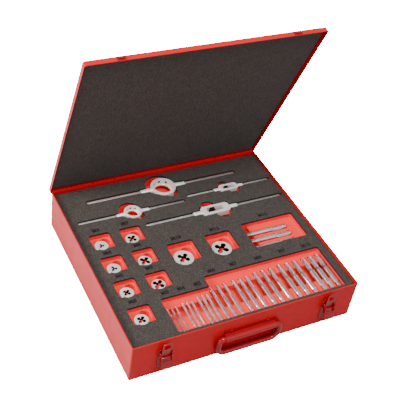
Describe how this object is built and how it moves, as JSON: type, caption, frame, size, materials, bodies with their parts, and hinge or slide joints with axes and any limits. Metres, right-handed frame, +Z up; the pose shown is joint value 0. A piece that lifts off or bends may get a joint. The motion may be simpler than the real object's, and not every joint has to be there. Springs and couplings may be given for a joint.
{
  "type": "tap and die case",
  "caption": "Open red sheet-steel case with a hinged foam-lined lid, carrying handle and draw latches, holding hand taps, round dies, die stocks and tap wrenches in foam pockets.",
  "frame": {"origin": "centre of the case's underside", "axes": "+X to the right seen from the handle side, +Y from the handle side to the hinge, +Z up"},
  "size_m": [0.4478, 0.4308, 0.4592],
  "materials": {
    "red_paint": "satin",
    "red_zinc": "satin",
    "foam_grey": "matte",
    "foam_red": "matte",
    "tool_steel": "ground",
    "dark_steel": "blackened",
    "die_steel": "ground",
    "cast_steel": "satin"
  },
  "bodies": {
    "case": {"base_shell": "red_paint", "foam_top": "foam_grey", "foam_base": "foam_red", "foam_filler": "foam_grey", "hinge_leaf_base": "red_zinc", "hinge_rivets_base": "red_zinc", "hinge_pin": "red_zinc", "front_rivets": "red_zinc", "latch_left_base": "red_zinc", "latch_left_stubs": "red_zinc", "latch_right_base": "red_zinc", "latch_right_stubs": "red_zinc", "handle_bracket": "red_zinc", "die_m3": "die_steel", "die_m4": "die_steel", "die_m5": "die_steel", "die_m6": "die_steel", "die_m7": "die_steel", "die_m8": "die_steel", "die_m9": "die_steel", "die_m10": "die_steel", "die_m12": "die_steel", "taps_m3": "tool_steel", "taps_m4": "tool_steel", "taps_m5": "tool_steel", "taps_m6": "tool_steel", "taps_m7": "tool_steel", "taps_m8": "tool_steel", "taps_m9": "tool_steel", "taps_m10": "tool_steel", "taps_m12": "tool_steel", "stock_large_ring": "cast_steel", "stock_large_arms": "dark_steel", "stock_large_screws": "cast_steel", "wrench_large_body": "cast_steel", "wrench_large_fixed_arm": "dark_steel", "stock_small_ring": "cast_steel", "stock_small_arms": "dark_steel", "stock_small_screws": "cast_steel", "wrench_small_body": "cast_steel", "wrench_small_fixed_arm": "dark_steel"},
    "lid": {"lid_shell": "red_paint", "lid_foam": "foam_grey", "hinge_leaf_lid": "red_zinc", "hinge_rivets_lid": "red_zinc", "keeper_left": "red_zinc", "keeper_right": "red_zinc", "keeper_rivets": "red_zinc"},
    "bail": {"handle_bail": "red_zinc"},
    "lever_left": {"latch_left_lever": "red_zinc", "latch_left_pin": "red_zinc"},
    "loop_left": {"latch_left_loop": "red_zinc"},
    "lever_right": {"latch_right_lever": "red_zinc", "latch_right_pin": "red_zinc"},
    "loop_right": {"latch_right_loop": "red_zinc"},
    "jaw_large": {"wrench_large_jaw": "cast_steel"},
    "arm_large": {"wrench_large_screw_arm": "dark_steel"},
    "jaw_small": {"wrench_small_jaw": "cast_steel"},
    "arm_small": {"wrench_small_screw_arm": "dark_steel"}
  },
  "joints": [
    {"name": "lid_hinge", "type": "hinge", "parent": "case", "child": "lid", "pos_m": [0, 0.2037, 0.0725], "axis": [-1, 0, 0], "range_deg": [-69.5, 35.5]},
    {"name": "bail_hinge", "type": "hinge", "parent": "case", "child": "bail", "pos_m": [0, -0.2069, 0.046], "axis": [-1, 0, 0], "range_deg": [0, 95]},
    {"name": "lever_left_hinge", "type": "hinge", "parent": "case", "child": "lever_left", "pos_m": [-0.162, -0.2075, 0.054], "axis": [-1, 0, 0], "range_deg": [-10, 75]},
    {"name": "loop_left_hinge", "type": "hinge", "parent": "lever_left", "child": "loop_left", "pos_m": [-0.162, -0.20727, 0.0438], "axis": [-1, 0, 0], "range_deg": [-113, 15.5]},
    {"name": "lever_right_hinge", "type": "hinge", "parent": "case", "child": "lever_right", "pos_m": [0.162, -0.2075, 0.054], "axis": [-1, 0, 0], "range_deg": [-10, 75]},
    {"name": "loop_right_hinge", "type": "hinge", "parent": "lever_right", "child": "loop_right", "pos_m": [0.162, -0.20727, 0.0438], "axis": [-1, 0, 0], "range_deg": [-113, 15.5]},
    {"name": "jaw_large_slide", "type": "slide", "parent": "case", "child": "jaw_large", "axis": [-1, 0, 0], "range_m": [-0.0025, 0.00375]},
    {"name": "arm_large_spin", "type": "hinge", "parent": "jaw_large", "child": "arm_large", "pos_m": [0.075, 0.0688, 0.071], "axis": [-1, 0, 0], "range_deg": [-720, 1080]},
    {"name": "jaw_small_slide", "type": "slide", "parent": "case", "child": "jaw_small", "axis": [-1, 0, 0], "range_m": [-0.0025, 0.00375]},
    {"name": "arm_small_spin", "type": "hinge", "parent": "jaw_small", "child": "arm_small", "pos_m": [0.133, 0.1203, 0.0725], "axis": [-1, 0, 0], "range_deg": [-720, 1080]}
  ],
  "couplings": [
    {"joint": "loop_left_hinge", "follows": "lever_left_hinge", "ratio": -1.5},
    {"joint": "loop_right_hinge", "follows": "lever_right_hinge", "ratio": -1.5},
    {"joint": "arm_large_spin", "follows": "jaw_large_slide", "rad_per_m": 5026.6},
    {"joint": "arm_small_spin", "follows": "jaw_small_slide", "rad_per_m": 5026.6}
  ]
}
